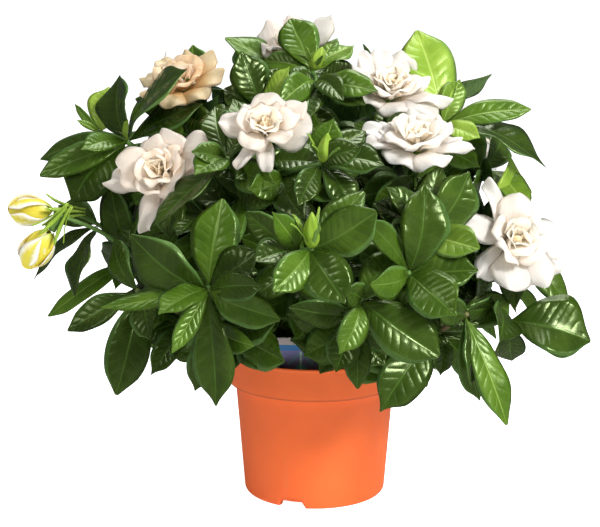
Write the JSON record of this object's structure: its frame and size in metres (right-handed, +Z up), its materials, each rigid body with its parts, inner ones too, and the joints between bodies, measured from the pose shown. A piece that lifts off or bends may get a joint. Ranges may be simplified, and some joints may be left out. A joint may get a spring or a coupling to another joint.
{
  "type": "potted gardenia",
  "caption": "Bushy gardenia with glossy dark leaves, double cream-white blooms and opening buds in a round orange plastic pot with a collar rim and a plant label.",
  "frame": {"origin": "centre of the pot's base, on the flat hub that stands on the surface", "axes": "+Z up along the pot's axis; -Y towards the front, where the plant label and most blooms face; +X to the right as seen from the front"},
  "size_m": [0.4005, 0.3643, 0.3514],
  "materials": {
    "pot_plastic": "satin",
    "soil": "matte",
    "label_plastic": "satin",
    "foliage": "gloss",
    "petals": "matte",
    "bud_petals": "matte"
  },
  "bodies": {
    "root": {"pot": "pot_plastic", "soil": "soil", "plant_label": "label_plastic", "leafy_stem_front_left": "foliage", "leafy_stem_low_left": "foliage", "leafy_stem_upper_left": "foliage", "leafy_stem_mid_left": "foliage", "leafy_stem_top": "foliage", "leafy_stem_high_front": "foliage", "leafy_stem_front": "foliage", "leafy_stem_low_front": "foliage", "leafy_stem_front_right": "foliage", "leafy_stem_low_right": "foliage", "leafy_stem_right": "foliage", "leafy_stem_upper_right": "foliage", "leafy_stem_back_1": "foliage", "leafy_stem_back_2": "foliage", "leafy_stem_back_3": "foliage", "leafy_stem_back_4": "foliage", "leafy_stem_back_5": "foliage", "leafy_stem_back_6": "foliage", "leafy_stem_back_7": "foliage", "leafy_stem_back_8": "foliage", "bloom_upper_left": "petals", "bloom_left": "petals", "bloom_centre": "petals", "bloom_top": "petals", "bloom_right": "petals", "bloom_upper_right": "petals", "bloom_mid_right": "petals", "bloom_back_right": "petals", "bloom_back_left": "petals", "opening_bud_upper": "bud_petals", "opening_bud_lower": "bud_petals"}
  },
  "joints": []
}
